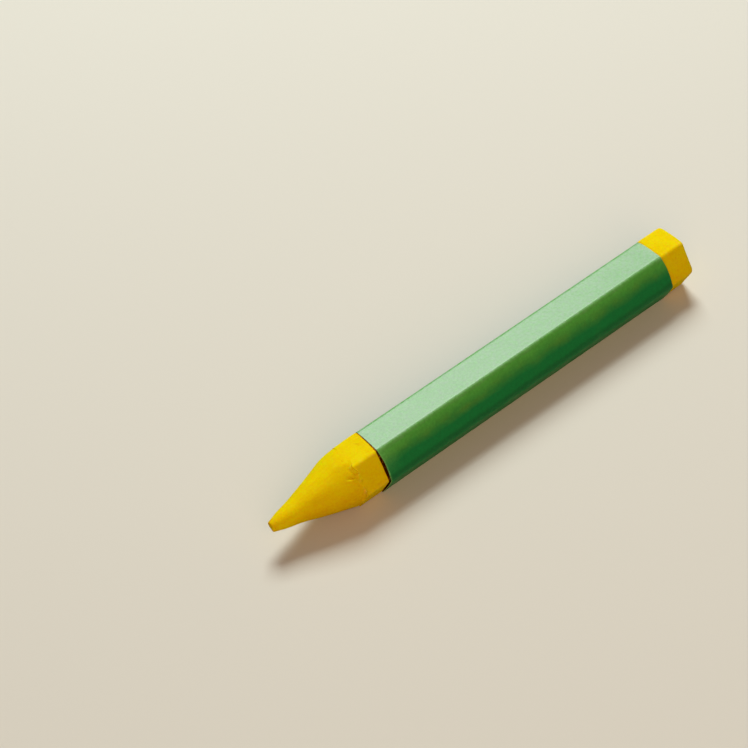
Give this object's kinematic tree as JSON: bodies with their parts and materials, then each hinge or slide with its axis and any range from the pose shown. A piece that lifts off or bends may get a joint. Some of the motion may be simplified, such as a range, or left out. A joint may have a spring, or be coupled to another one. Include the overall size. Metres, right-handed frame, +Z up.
{
  "type": "tire marking crayon",
  "caption": "Hexagonal wax marking crayon with a slim, slightly worn point, in a glued green paper sleeve that leaves the point end and the butt bare.",
  "frame": {"origin": "under the middle of the crayon's length, on the surface that it lies on", "axes": "+X along the crayon from the nose to the butt, +Y across it, +Z up"},
  "size_m": [0.1142, 0.0144, 0.0127],
  "materials": {
    "marking_wax": "matte",
    "coated_paper": "satin"
  },
  "bodies": {
    "root": {"crayon_stick": "marking_wax", "paper_sleeve": "coated_paper"}
  },
  "joints": []
}
